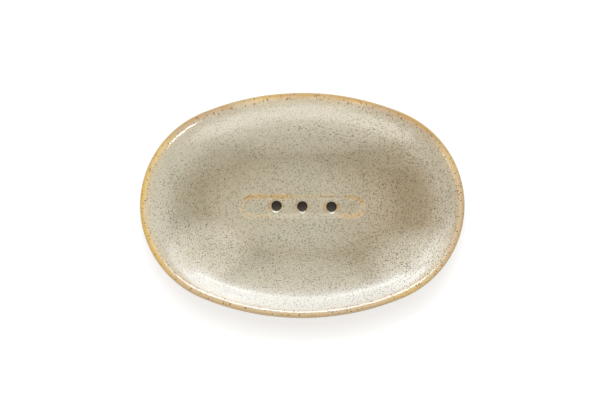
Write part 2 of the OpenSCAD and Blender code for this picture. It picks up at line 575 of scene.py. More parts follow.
    def lip_band(self, sheet: NodeSheet, spot: Spot) -> Socket:
        """Finds where the glaze runs thin over the lip, further down the outside at the back.

        The middle and the outer edge of the band move by small shares of the outline's Y.

        Args:
            sheet: The glaze's nodes.
            spot: Where it is.

        Returns:
            How much of the lip's colour shows.
        """
        middle = sheet.math("MULTIPLY_ADD", spot.outline_y, self.lip_middle_share, self.lip_middle)
        offset = sheet.math("SUBTRACT", spot.run, middle)
        offset = sheet.math("SUBTRACT", offset, sheet.sway(spot.place, self.lip_sway))
        dropped = sheet.math("MULTIPLY_ADD", spot.outline_y, self.lip_drop_share, offset)
        outside = sheet.fade(dropped, self.lip_outer_edge)
        broken = sheet.blotches(spot.place, self.lip_blotches)
        band = sheet.product(sheet.fade(offset, self.lip_inner_edge), outside, broken)
        skirt = sheet.product(sheet.fade(offset, self.lip_skirt), outside)
        return sheet.product(sheet.math("MAXIMUM", band, skirt), self.lip_cover)

    def lip_colour(self, sheet: NodeSheet, spot: Spot) -> Socket:
        """Mixes the colour of the thin glaze on the lip, with ochre on the inner side in places.

        Args:
            sheet: The glaze's nodes.
            spot: Where it is.

        Returns:
            The colour.
        """
        golden = strongest(sheet, spot.place, self.golden_places)
        ochre = strongest(sheet, spot.place, self.ochre_places)
        inner = sheet.fade(spot.run, self.ochre_edge)
        return sheet.coats(self.tan, ((golden, self.gold), (sheet.product(ochre, inner), self.ochre)))

    def well_edges(self, sheet: NodeSheet, spot: Spot, well: DrainWell) -> tuple[Socket, Socket]:
        """Finds where the glaze runs thin over the well's edge, and where painted light makes its side
        paler against the side's shade.

        Args:
            sheet: The glaze's nodes.
            spot: Where it is.
            well: The well, whose edge is a line's constant distance from a stretch of X.

        Returns:
            The share of amber and the share of painted light on the side.
        """
        away = sheet.vector("MULTIPLY", sheet.vector("ABSOLUTE", spot.place), (1, 1, 0))
        past_end = sheet.vector("SUBTRACT", away, (well.end_centre, 0, 0))
        distance = sheet.vector("LENGTH", sheet.vector("MAXIMUM", past_end, (0, 0, 0)), out=1)
        swayed = sheet.math("ADD", distance, sheet.sway(spot.place, self.well_sway))
        side_middle = (well.width - well.side_run) / 2
        off_line = sheet.math("ABSOLUTE", sheet.math("SUBTRACT", swayed, side_middle))
        off_side = sheet.math("ABSOLUTE", sheet.math("SUBTRACT", distance, side_middle))
        amber = sheet.math("MAXIMUM", self.least_amber, strongest(sheet, spot.place, self.well_flows))
        broken = sheet.blotches(spot.place, self.well_blotches)
        above = sheet.fade(spot.height, self.upper_face)
        line = sheet.product(sheet.fade(off_line, self.well_line), amber, broken, above)
        return line, sheet.product(sheet.fade(off_side, self.painted_well_light), above)

    def drain_gap(self, sheet: NodeSheet, place: Socket, drains: list[Drain]) -> Socket:
        """Measures how far out from the nearest drain hole's wall a place is, in plan.

        Args:
            sheet: The glaze's nodes.
            place: Place in millimetres.
            drains: The drain holes.

        Returns:
            The distance in millimetres.
        """
        flat = sheet.vector("MULTIPLY", place, (1, 1, 0))
        middles = (sheet.vector("DISTANCE", flat, (drain.x, drain.y, 0), out=1) for drain in drains)
        return sheet.math("SUBTRACT", sheet.fold("MINIMUM", middles), drains[0].radius)

    def satin(self, sheet: NodeSheet, run: Socket, gap: Socket) -> Socket:
        """Finds the roughness: glossy on the lip and the drains' edges, duller on the rim, satin inside.

        Args:
            sheet: The glaze's nodes.
            run: Run in from the crest of the lip.
            gap: Distance from the nearest drain's wall.

        Returns:
            The roughness.
        """
        fades = (self.outside_dullness, self.rim_dullness, self.bowl_dullness)
        dull = sheet.fold("ADD", (sheet.fade(run, fade) for fade in fades))
        dull = sheet.product(dull, sheet.fade(gap, self.drain_dullness))
        return sheet.math("MAXIMUM", dull, self.glossiest)

    def colour(self, sheet: NodeSheet, spot: Spot, well: DrainWell, gap: Socket) -> Socket:
        """Mixes the glaze's whole colour.

        Args:
            sheet: The glaze's nodes.
            spot: Where it is.
            well: The well.
            gap: Distance from the nearest drain's wall.

        Returns:
            The colour.
        """
        place = spot.place
        ragged = sheet.shaken(place, place, self.speck_sway)
        edge, side = self.well_edges(sheet, spot, well)
        drain_edge = strongest(sheet, place, self.drain_flows)
        drain_edge = sheet.product(sheet.fade(gap, self.drain_line), drain_edge)
        colour = sheet.coats(self.base_colour(sheet, spot), (
            # Painted light on the well's side
            (side, self.painted_light_cream),
            (sheet.product(edge, self.amber_cover), self.amber),
            (drain_edge, self.caramel),
            (self.flecks.mask(sheet, ragged)[0], self.chalk),
        ))
        crowd = self.crowding(sheet, spot)
        for speckle in (self.fine, self.coarse):
            cover, tint = speckle.mask(sheet, ragged)
            iron = sheet.blend(sheet.fade(tint, self.speck_tint), self.brown, self.umber)
            colour = sheet.blend(sheet.product(cover, crowd), colour, iron)
        colour = sheet.blend(self.lip_band(sheet, spot), colour, self.lip_colour(sheet, spot))
        stretched = sheet.vector("MULTIPLY", spot.rim, self.streak_shares)
        streak_place = sheet.shaken(stretched, place, self.streak_sway)
        near_lip = sheet.fade(sheet.math("ABSOLUTE", spot.run), self.streak_fade)
        thin = sheet.math("MAXIMUM", edge, drain_edge)
        for speckle, pattern, where in (
            (self.lip_streaks, streak_place, near_lip),
            (self.edge_specks, ragged, thin),
        ):
            cover, tint = speckle.mask(sheet, pattern)
            iron = sheet.blend(tint, self.brown, self.rust)
            colour = sheet.blend(sheet.product(cover, where), colour, iron)
        return colour

    def material(self, well: DrainWell, drains: list[Drain]) -> bpy.types.Material:
        """Makes the glaze for the bowl.

        Args:
            well: The well, along whose edge the glaze breaks.
            drains: The drain holes, round which it breaks too.

        Returns:
            The material.
        """
        sheet = NodeSheet(bpy.data.materials.new("speckled_glaze"))
        spot = Spot(sheet)
        gap = self.drain_gap(sheet, spot.place, drains)
        peel, swell = (sheet.cloud(spot.place, cloud) for cloud in (self.peel, self.swell))
        height = sheet.math("MULTIPLY_ADD", swell, self.swell_share, peel)
        return sheet.dress({
            "Base Color": self.colour(sheet, spot, well, gap),
            "Roughness": self.satin(sheet, spot.run, gap),
            "IOR": self.gloss_index,
            "Normal": sheet.dimples(height, self.peel_depth),
        })


@dataclass(frozen=True)
class BareClay:
    """Warm unglazed stoneware with dark grog, wiped smooth."""

    light: Colour = linear(206, 176, 140)
    dark: Colour = linear(184, 148, 110)
    dark_blotches: Blotches = Blotches(Cloud(6, 4), Fade(0.3, 0.7))
    grog: Speckle = Speckle(cell=1.1, radius=0.3, presence=0.5, strength=0.6, seed=5.3)
    grog_colour: Colour = linear(110, 84, 62)
    grain: Cloud = Cloud(0.35, 3, 0.7)
    grain_depth: float = 0.06
    roughness: float = 0.88

    def material(self) -> bpy.types.Material:
        """Makes the clay.

        Returns:
            The material.
        """
        sheet = NodeSheet(bpy.data.materials.new("bare_clay"))
        place = sheet.place()
        blotches = sheet.blotches(place, self.dark_blotches)
        grog, _ = self.grog.mask(sheet, place)
        return sheet.dress({
            "Base Color": sheet.coats(self.light, ((blotches, self.dark), (grog, self.grog_colour))),
            "Roughness": self.roughness,
            "Normal": sheet.dimples(sheet.cloud(place, self.grain), self.grain_depth),
        })


@dataclass(frozen=True)
class ClearSilicone:
    """Milky clear silicone with a faintly uneven skin."""

    clear: Colour = linear(232, 236, 234)
    cloudy: Colour = linear(214, 219, 216)
    haze: Cloud = Cloud(1.2)
    skin: Cloud = Cloud(0.5)
    skin_depth: float = 0.01
    roughness: float = 0.32
    index: float = 1.41
    clearness: float = 0.55

    def material(self) -> bpy.types.Material:
        """Makes the silicone.

        Returns:
            The material.
        """
        sheet = NodeSheet(bpy.data.materials.new("clear_silicone"))
        place = sheet.place()
        return sheet.dress({
            "Base Color": sheet.blend(sheet.cloud(place, self.haze), self.clear, self.cloudy),
            "Roughness": self.roughness,
            "IOR": self.index,
            "Transmission Weight": self.clearness,
            "Normal": sheet.dimples(sheet.cloud(place, self.skin), self.skin_depth),
        })


@dataclass(frozen=True)
class PaleFloor:
    """White ground that fills the picture with white and still takes the dish's shadow.

    Its own glow stops under the dish, and inside the closed foot ring its colour is darkened as painted
    shade, so that the drain holes look down into the dark.
    """

    colour: Colour = (0.6, 0.6, 0.6)
    # Painted shade on the ground inside the foot ring
    painted_shade: Colour = (0.24, 0.2, 0.17)
    glow: Colour = (1.0, 0.975, 0.95)
    lift: float = 0.57
    dish_reach: tuple[float, float] = (60.0, 38.0)
    dish_fade: Fade = Fade(0.7, 1)
    foot_reach: tuple[float, float] = (34.0, 13.0)
    foot_fade: Fade = Fade(1, 0.75)

    def material(self) -> bpy.types.Material:
        """Makes the ground's finish.

        Returns:
            The material.
        """
        sheet = NodeSheet(bpy.data.materials.new("pale_floor"))
        painted_shade_share = sheet.fade(self.spread(sheet, self.foot_reach), self.foot_fade)
        colour = sheet.blend(painted_shade_share, self.colour, self.painted_shade)
        matt = sheet.add("ShaderNodeBsdfDiffuse", {"Color": colour})
        outside = sheet.fade(self.spread(sheet, self.dish_reach), self.dish_fade)
        strength = sheet.product(sheet.seen(), outside, self.lift)
        glow = sheet.add("ShaderNodeEmission", {"Color": self.glow, "Strength": strength})
        return sheet.finish(sheet.add("ShaderNodeAddShader", {0: matt.outputs[0], 1: glow.outputs[0]}))

    def spread(self, sheet: NodeSheet, reach: tuple[float, float]) -> Socket:
        """Distance from the dish's middle, as a share of a reach along and across it."""
        scaled = sheet.vector("MULTIPLY", sheet.place(), (1 / reach[0], 1 / reach[1], 0))
        return sheet.vector("LENGTH", scaled, out=1)


@dataclass(frozen=True)
class OvalPlan:
    """Oval of four arcs that the lip, the walls and the foot ring follow.

    The middle of the dish and the centres of an end arc and a side arc make a right triangle with
    these proportions, and neighbouring arcs meet on the line through their centres.
    """

    length: float
    width: float
    triangle_shares: tuple[float, float, float] = (5, 12, 13)
    end_steps: int = 64
    side_steps: int = 56

    @property
    def unit(self) -> float:
        """Length of one share of the triangle."""
        along, across, between = self.triangle_shares
        return (self.length - self.width) / 2 / (along + across - between)

    @property
    def end_centre(self) -> float:
        """Distance of an end arc's centre from the middle, along X."""
        return self.unit * self.triangle_shares[0]

    @property
    def side_centre(self) -> float:
        """Distance of a side arc's centre from the middle, along Y."""
        return self.unit * self.triangle_shares[1]

    @property
    def end_radius(self) -> float:
        """Radius of an end arc of the outline."""
        return self.length / 2 - self.end_centre

    @property
    def side_radius(self) -> float:
        """Radius of a side arc of the outline."""
        return self.end_radius + self.unit * self.triangle_shares[2]

    @property
    def meeting_angle(self) -> float:
        """Angle in radians between the Y axis and the line on which two arcs meet."""
        return math.atan2(self.triangle_shares[0], self.triangle_shares[1])

    def arc_at(self, x: float, y: float) -> tuple[Vector, float]:
        """Finds the arc that a place in plan belongs to.

        Args:
            x: Place along the dish.
            y: Place across the dish.

        Returns:
            The arc's centre and its radius on the outline.
        """
        if abs(x) - self.end_centre > abs(y) * math.tan(self.meeting_angle):
            return Vector((math.copysign(self.end_centre, x), 0)), self.end_radius
        return Vector((0, -math.copysign(self.side_centre, y))), self.side_radius

    def inset(self, x: float, y: float) -> float:
        """Plan distance of a place inwards from the outline."""
        centre, radius = self.arc_at(x, y)
        return radius - (Vector((x, y)) - centre).length

    def outline_at(self, x: float, y: float) -> Vector:
        """Point of the outline straight out from a place."""
        centre, radius = self.arc_at(x, y)
        return centre + (Vector((x, y)) - centre).normalized() * radius

    def carry_round(self, mesh: bmesh.types.BMesh) -> None:
        """Spins the profile in a mesh, drawn on the first meeting line, round all four arcs.

        Args:
            mesh: Mesh that holds nothing but the profile.
        """
        side_turn = 2 * self.meeting_angle
        end_turn = math.pi - side_turn
        arcs = (
            (Vector((0, -self.side_centre, 0)), side_turn, self.side_steps),
            (Vector((-self.end_centre, 0, 0)), end_turn, self.end_steps),
            (Vector((0, self.side_centre, 0)), side_turn, self.side_steps),
            (Vector((self.end_centre, 0, 0)), end_turn, self.end_steps),
        )
        profile = mesh.verts[:] + mesh.edges[:]
        for centre, turn, steps in arcs:
            spun = bmesh.ops.spin(mesh, geom=profile, cent=centre * MM, axis=UP, angle=turn, steps=steps)
            profile = spun["geom_last"]
        bmesh.ops.remove_doubles(mesh, verts=mesh.verts, dist=MERGE_DISTANCE)


class ProfilePen:
    """Draws a profile as a chain of edges in the upright plane through the first meeting line.

    A place in that plane is a plan inset from the outline and a height. Each vertex keeps its run
    along the chain in the last value of the mesh's rim layer.
    """

    def __init__(self, mesh: bmesh.types.BMesh, plan: OvalPlan, start: Vector) -> None:
        """Puts the pen down.

        Args:
            mesh: Mesh to draw in.
            plan: Oval whose first meeting line carries the plane.
            start: Inset and height of the first vertex.
        """
        along, across, between = plan.triangle_shares
        self.mesh = mesh
        self.plan = plan
        self.outwards = Vector((along / between, across / between, 0))
        self.axis = UP.cross(self.outwards)
        self.layer = mesh.verts.layers.float_vector.new(RIM_LAYER)
        self.run = 0.0
        self.tip = mesh.verts.new(self.place(start))

    def place(self, point: Vector) -> Vector:
        """Place in metres of a point of the section."""
        reach = (self.plan.end_radius - point.x) * self.outwards
        return (Vector((self.plan.end_centre, 0, point.y)) + reach) * MM

    def step(self, move: Matrix) -> None:
        """Extrudes the last vertex and moves the new one.

        Args:
            move: Matrix that the new vertex is moved by.
        """
        made = bmesh.ops.extrude_vert_indiv(self.mesh, verts=[self.tip])["verts"][0]
        bmesh.ops.transform(self.mesh, matrix=move, verts=[made])
        self.run += (made.co - self.tip.co).length / MM
        made[self.layer] = (0, 0, self.run)
        self.tip = made

    def line(self, point: Vector, steps: int) -> None:
        """Draws a straight line.

        Args:
            point: Inset and height of its end.
            steps: Number of edges.
        """
        stride = (self.place(point) - self.tip.co) / steps
        for _ in range(steps):
            self.step(Matrix.Translation(stride))

    def arc(self, centre: Vector, turn: float, steps: int) -> None:
        """Draws an arc about a centre.

        Args:
            centre: Inset and height of the centre.
            turn: Angle in degrees, positive from the inward direction towards up.
            steps: Number of edges.
        """
        pivot = Matrix.Translation(self.place(centre))
        rotation = Matrix.Rotation(math.radians(turn / steps), 4, self.axis)
        for _ in range(steps):
            self.step(pivot @ rotation @ pivot.inverted())


class SectionSteps(NamedTuple):
    """Number of edges along each stretch of the bowl's section, in the order in which it is drawn."""

    cove: int = 12
    wall: int = 5
    shoulder: int = 12
    rim: int = 14
    inner_lip: int = 6
    lip: int = 20
    low_rim: int = 4
    low_shoulder: int = 10
    low_wall: int = 5
    low_cove: int = 6
    foot: int = 4
    foot_edge: int = 5
    base: int = 4


@dataclass(frozen=True)
class BowlSection:
    """Section of the glazed bowl: a rounded lip, a flared rim, a wall and a floor that falls inwards.

    Its middle line runs down from the lip's centre. The upper face swells a little over it, because
    the lip is rounded more gently on its inner side. The floor has its thickness at its reach.
    """

    height: float
    base: float
    floor_reach: float
    wall: float = 4.0
    lip_inner_radius: float = 6.0
    rim_slope: float = 14.0
    rim_bow: float = 5.0
    rim_run: float = 7.0
    shoulder_radius: float = 22.0
    wall_slope: float = 42.0
    cove_radius: float = 22.0
    floor_slope: float = 3.0
    floor_thickness: float = 4.2
    foot_inset: float = 27.0
    foot_edge_radius: float = 0.35
    steps: SectionSteps = SectionSteps()

    @property
    def lip_centre(self) -> Vector:
        """Centre of the lip's outer rounding."""
        return Vector((self.wall / 2, self.height - self.wall / 2))

    @property
    def top_skin(self) -> float:
        """Distance of the upper face from the middle line."""
        swell = (self.lip_inner_radius - self.wall / 2) * (1 - polar(self.rim_slope).x)
        return self.wall / 2 + swell

    @property
    def shoulder_centre(self) -> Vector:
        """Centre of the bend from the rim into the wall."""
        rim_end = self.lip_centre + polar(-self.rim_slope) * self.rim_run / polar(self.rim_slope).x
        return rim_end - polar(90 - self.rim_slope) * self.shoulder_radius

    @property
    def cove_centre(self) -> Vector:
        """Finds the centre of the bend from the wall into the floor.

        Returns:
            The centre's inset and height, for a wall that ends where the floor gets its own height.
        """
        start = self.shoulder_centre + polar(90 - self.wall_slope) * self.shoulder_radius
        turn = (polar(90 - self.wall_slope) - polar(90 - self.floor_slope)) * self.cove_radius
        floor_start = start + turn + polar(90 - self.floor_slope) * self.wall / 2
        fall, drop = math.tan(math.radians(self.floor_slope)), math.tan(math.radians(self.wall_slope))
        floor_height = self.base + self.floor_thickness
        run = (floor_start.y - (self.floor_reach - floor_start.x) * fall - floor_height) / (drop - fall)
        wall_end = start + polar(-self.wall_slope) * run / polar(self.wall_slope).x
        return wall_end + polar(90 - self.wall_slope) * self.cove_radius

    def top_height(self, inset: float) -> float:
        """Finds the height of the upper face on the cove and the floor.

        Args:
            inset: Plan distance inwards from the outline.

        Returns:
            The height.
        """
        radius = self.cove_radius - self.top_skin
        floor_start = self.cove_centre - polar(90 - self.floor_slope) * radius
        if inset < floor_start.x:
            return self.cove_centre.y - math.sqrt(radius**2 - (inset - self.cove_centre.x) ** 2)
        return floor_start.y - (inset - floor_start.x) * math.tan(math.radians(self.floor_slope))

    def bow_centre(self, low: Vector, high: Vector) -> Vector:
        """Finds the centre of the arc that bows the rim's upper face.

        Args:
            low: Inner end of the arc.
            high: Outer end of the arc.

        Returns:
            The centre's inset and height.
        """
        chord = low - high
        normal = Vector((-chord.y, chord.x)).normalized()
        return (low + high) / 2 - normal * chord.length / 2 / math.tan(math.radians(self.rim_bow))

    def draw(self, mesh: bmesh.types.BMesh, plan: OvalPlan, top_end: float, base_end: float) -> float:
        """Draws the section from the cove out over the lip and back under to the base.

        Args:
            mesh: Mesh to draw in.
            plan: Oval that carries the section.
            top_end: Inset at which the upper face starts.
            base_end: Inset at which the base stops.

        Returns:
            The run along the chain at the crest of the lip.
        """
        half, bow, steps = self.wall / 2, self.rim_bow, self.steps
        shoulder, cove = self.shoulder_centre, self.cove_centre
        wall_up, rim_up = polar(90 - self.wall_slope), polar(90 - self.rim_slope)
        top_shoulder, low_shoulder = self.shoulder_radius + self.top_skin, self.shoulder_radius - half
        top_cove, low_cove = self.cove_radius - self.top_skin, self.cove_radius + half
        bend = self.wall_slope - self.rim_slope
        lip_inner = Vector((half, self.height - self.lip_inner_radius))
        rim_low = shoulder + polar(90 - self.rim_slope - bow) * top_shoulder
        rim_high = lip_inner + polar(90 - self.rim_slope + bow) * self.lip_inner_radius
        pen = ProfilePen(mesh, plan, Vector((top_end, self.top_height(top_end))))
        pen.arc(cove, math.degrees(math.asin((cove.x - top_end) / top_cove)) - self.wall_slope, steps.cove)
        pen.line(shoulder + wall_up * top_shoulder, steps.wall)
        pen.arc(shoulder, bend - bow, steps.shoulder)
        pen.arc(self.bow_centre(rim_low, rim_high), 2 * bow, steps.rim)
        pen.arc(lip_inner, self.rim_slope - bow, steps.inner_lip)
        crest = pen.run
        pen.arc(self.lip_centre, 180 - self.rim_slope, steps.lip)
        pen.line(shoulder + rim_up * low_shoulder, steps.low_rim)
        pen.arc(shoulder, -bend, steps.low_shoulder)
        pen.line(cove - wall_up * low_cove, steps.low_wall)
        foot_angle = math.degrees(math.acos((cove.x - self.foot_inset) / low_cove))
        pen.arc(cove, foot_angle + self.wall_slope - 90, steps.low_cove)
        edge = self.foot_edge_radius
        pen.line(Vector((self.foot_inset, self.base + edge)), steps.foot)
        pen.arc(Vector((self.foot_inset + edge, self.base + edge)), 90, steps.foot_edge)
        pen.line(Vector((base_end, self.base)), steps.base)
        return crest


def edges_at(verts: Verts) -> Edges:
    """Edges that touch some vertices, each once and in the same order every time."""
    return list(dict.fromkeys(edge for vert in verts for edge in vert.link_edges))


def grow(mesh: bmesh.types.BMesh, edges: Edges) -> tuple[Verts, Edges]:
    """Extrudes an open ring of edges.

    Args:
        mesh: Mesh that holds the ring.
        edges: The ring.

    Returns:
        The vertices and the edges of the new ring, which still lies on the old one.
    """
    grown = bmesh.ops.extrude_edge_only(mesh, edges=edges)["geom"]
    verts = [part for part in grown if isinstance(part, bmesh.types.BMVert)]
    ring = set(verts)
    new_edges = [part for part in grown if isinstance(part, bmesh.types.BMEdge)]
    return verts, [edge for edge in new_edges if set(edge.verts) <= ring]


@dataclass(frozen=True)
class Drain:
    """A round drain hole, at its place in the well and with its radius inside the glaze.

    Its upper edge dips by an angle over the width of a funnel and rounds into the wall. A lane is a
    narrow flat ring round each opening, which keeps the flat faces evenly shaded.
    """

    x: float
    y: float
    radius: float
    top_rounding: float = 0.3
    dip: float = 10.0
    funnel: float = 0.55
    low_rounding: float = 0.35
    lane: float = 0.06
    sides: int = 48
    funnel_steps: int = 5
    top_steps: int = 6
    low_steps: int = 5

    def bore(self, mesh: bmesh.types.BMesh, top: float, base: float) -> tuple[Edges, Edges]:
        """Adds the hole's wall, rounded at both ends.

        Args:
            mesh: Mesh to add to.
            top: Height of the well's bottom.
            base: Height of the underside.

        Returns:
            The edges of the upper and the lower opening.
        """
        widths = self.softened(top)
        widths += self.rounded(base, -self.low_rounding, (180, 90), self.low_steps)
        widths += [(self.radius + self.low_rounding + self.lane, base)]
        middle = Vector((self.x, self.y, 0))
        first_radius, first_height = widths[0]
        made = bmesh.ops.create_circle(mesh, segments=self.sides, radius=first_radius * MM)["verts"]
        bmesh.ops.translate(mesh, verts=made, vec=(middle + UP * first_height) * MM)
        upper = edges = edges_at(made)
        for (old_radius, old_height), (radius, height) in zip(widths, widths[1:]):
            made, edges = grow(mesh, edges)
            share = radius / old_radius
            about = Matrix.Translation(-(middle + UP * old_height) * MM)
            bmesh.ops.scale(mesh, verts=made, vec=(share, share, 1), space=about)
            bmesh.ops.translate(mesh, verts=made, vec=UP * (height - old_height) * MM)
        return upper, edges

    def softened(self, top: float) -> list[tuple[float, float]]:
        """Radii and heights of the upper edge, which was sponged to a shallow funnel before firing.

        Args:
            top: Height of the well's bottom.

        Returns:
            Pairs of radius and height, from the well's bottom into the hole.
        """
        dip, steps = math.radians(self.dip), self.funnel_steps
        start = self.radius + self.top_rounding * (1 - math.sin(dip)) + self.funnel
        stride = self.funnel / steps
        chain = [(start + self.lane, top), (start, top)]
        for step in range(1, steps + 1):
            fall = stride * math.tan(dip * step / steps)
            chain.append((start - stride * step, chain[-1][1] - fall))
        level = chain[-1][1] + self.top_rounding * (1 - math.cos(dip))
        return chain + self.rounded(level, self.top_rounding, (90 + self.dip, 180), self.top_steps)[1:]

    def rounded(self, level: float, size: float, sweep: tuple, steps: int) -> list[tuple[float, float]]:
        """Radii and heights of a rounded edge of the hole.

        Args:
            level: Height at which the rounding meets the face.
            size: Radius of the rounding, below zero if it lies above the level.
            sweep: First and last angle, in degrees.
            steps: Number of edges.

        Returns:
            Pairs of radius and height.
        """
        reach, (first, last) = abs(size), sweep
        centre = Vector((self.radius + reach, level - size))
        angles = [math.radians(first + (last - first) * step / steps) for step in range(steps + 1)]
        return [(centre.x + reach * math.cos(angle), centre.y + size * math.sin(angle)) for angle in angles]


@dataclass(frozen=True)
class DrainWell:
    """Shallow well with round ends along the middle of the floor.

    Its softness is the share of its side that is rounded, and its lane a narrow flat ring within it.
    """

    length: float = 56.8
    width: float = 10.6
    depth: float = 1.3
    side_run: float = 1.8
    softness: float = 0.15
    lane: float = 0.05
    rings: int = 15

    @property
    def end_centre(self) -> float:
        """Distance of the end arcs' centres from the middle."""
        return (self.length - self.width) / 2

    def fall(self, half_width: float) -> float:
        """Finds how high the well's side stands, rounded at its top and bottom.

        Args:
            half_width: Distance from the well's middle line.

        Returns:
            The share of the way up.
        """
        share = (half_width - self.width / 2) / self.side_run + 1
        soft = self.softness
        if share <= -soft:
            return 0.0
        if share < soft:
            return (share + soft) ** 2 / (4 * soft)
        if share <= 1 - soft:
            return share
        if share < 1 + soft:
            return 1 - (1 + soft - share) ** 2 / (4 * soft)
        return 1.0

    def opposite(self, plan: OvalPlan, point: Vector, half_width: float) -> Vector:
        """Finds the place on the well's edge that belongs to a place on an oval round it.

        Args:
            plan: The oval's plan.
            point: Place on the oval, in millimetres.
            half_width: Distance of the edge from the well's middle line.

        Returns:
            The place in millimetres, at the point's own height.
        """
        centre, radius = plan.arc_at(point.x, point.y)
        off = Vector((abs(point.x - centre.x), abs(point.y - centre.y)))
        if radius == plan.end_radius:
            turn = math.atan2(off.y, off.x) / (math.pi / 2 - plan.meeting_angle) * math.pi / 2
            x = self.end_centre + half_width * math.cos(turn)
            y = half_width * math.sin(turn)
        else:
            x = self.end_centre * math.atan2(off.x, off.y) / plan.meeting_angle
            y = half_width
        return Vector((math.copysign(x, point.x), math.copysign(y, point.y), point.z))

    def narrowed(self, point: Vector, half_width: float) -> Vector:
        """Moves a place on an edge of the well square to that edge, to another half width."""
        middle = Vector((max(-self.end_centre, min(self.end_centre, point.x)), 0, point.z))
        return middle + (point - middle).normalized() * half_width


@dataclass
class GlazedBowl:
    """The dish's glazed surface, as one closed skin over the clay.

    The section is spun from one end's inset on the upper face to the other's on the base, and the
    floor is closed within them.
    """

    plan: OvalPlan
    section: BowlSection
    well: DrainWell
    drains: list[Drain]
    glaze: SpeckledGlaze
    top_end: float = 34.0
    base_end: float = 37.0
    floor_cuts: int = 8
    unevenness: float = 0.1
    swell_size: float = 14.0

    @property
    def well_bottom(self) -> float:
        """Height of the well's bottom."""
        return self.section.base + self.section.floor_thickness - self.well.depth

    def upper(self, verts: Iterable[bmesh.types.BMVert]) -> Verts:
        """Vertices above the middle of the floor's thickness."""
        middle = (self.section.base + self.section.floor_thickness / 2) * MM
        return [vert for vert in verts if vert.co.z > middle]

    def sink_well(self, mesh: bmesh.types.BMesh, edges: Edges) -> Edges:
        """Carries the floor in to the well and down its side.

        Args:
            mesh: The bowl's mesh.
            edges: Open inner edge of the upper face.

        Returns:
            The edges round the well's flat bottom.
        """
        top, bottom = self.well.width / 2, self.well_bottom
        soft = self.well.softness * self.well.side_run
        outer, inner = top + soft, top - self.well.side_run - soft
        verts, ring = grow(mesh, edges)
        for vert in verts:
            vert.co = self.well.opposite(self.plan, vert.co / MM, outer) * MM
        spokes = [edge for edge in edges_at(verts) if edge not in ring]
        bmesh.ops.subdivide_edges(mesh, edges=spokes, cuts=self.floor_cuts, use_grid_fill=True)
        for vert in self.upper(mesh.verts):
            inset = self.plan.inset(vert.co.x / MM, vert.co.y / MM)
            if inset > self.top_end:
                vert.co.z = self.section.top_height(inset) * MM
        open_edges = [edge for edge in mesh.edges if edge.is_boundary]
        edges = [edge for edge in open_edges if len(self.upper(edge.verts)) == len(edge.verts)]
        for number in range(1, self.well.rings + 1):
            half_width = outer + (inner - outer) * number / self.well.rings
            verts, edges = grow(mesh, edges)
            for vert in verts:
                vert.co = self.well.narrowed(vert.co / MM, half_width) * MM
                level = self.section.top_height(self.plan.inset(vert.co.x / MM, vert.co.y / MM))
                vert.co.z = (bottom + (level - bottom) * self.well.fall(half_width)) * MM
        verts, edges = grow(mesh, edges)
        for vert in verts:
            vert.co = self.well.narrowed(vert.co / MM, inner - self.well.lane) * MM
        return edges

    def close_floor(self, mesh: bmesh.types.BMesh, top_edges: Edges, base_edges: Edges) -> None:
        """Bores the drain holes and fills the well's bottom and the base round them.

        Args:
            mesh: The bowl's mesh.
            top_edges: Open edge round the well's bottom.
            base_edges: Open edge round the base.
        """
        for drain in self.drains:
            upper, lower = drain.bore(mesh, self.well_bottom, self.section.base)
            top_edges += upper
            base_edges += lower
        for edges in (top_edges, base_edges):
            bmesh.ops.triangle_fill(mesh, edges=edges, use_beauty=True, normal=UP)

    def throw_unevenly(self, mesh: bmesh.types.BMesh) -> None:
        """Takes up to the unevenness off the rim and walls in soft waves, as on a hand-finished dish.

        Args:
            mesh: The bowl's mesh.
        """
        mesh.normal_update()
        for vert in mesh.verts:
            wave = noise.noise(vert.co / MM / self.swell_size)
            inset = self.plan.inset(vert.co.x / MM, vert.co.y / MM)
            fade = max(0.0, 1 - inset / self.top_end)
            vert.co -= vert.normal * (1 + wave) / 2 * self.unevenness * fade * MM

    def build(self) -> bpy.types.Object:
        """Builds the bowl and dresses it.

        Returns:
            The bowl's object.
        """
        mesh = bmesh.new()
        crest = self.section.draw(mesh, self.plan, self.top_end, self.base_end)
        self.plan.carry_round(mesh)
        open_edges = [edge for edge in mesh.edges if edge.is_boundary]
        top_edges = [edge for edge in open_edges if self.upper(edge.verts)]
        base_edges = [edge for edge in open_edges if not self.upper(edge.verts)]
        self.close_floor(mesh, self.sink_well(mesh, top_edges), base_edges)
        layer = mesh.verts.layers.float_vector[RIM_LAYER]
        for vert in mesh.verts:
            outline = self.plan.outline_at(vert.co.x / MM, vert.co.y / MM)
            vert[layer] = (*outline, crest - vert[layer].z)
        bmesh.ops.recalc_face_normals(mesh, faces=mesh.faces)
        self.throw_unevenly(mesh)
        return make_object("glazed_bowl", mesh, self.glaze.material(self.well, self.drains))


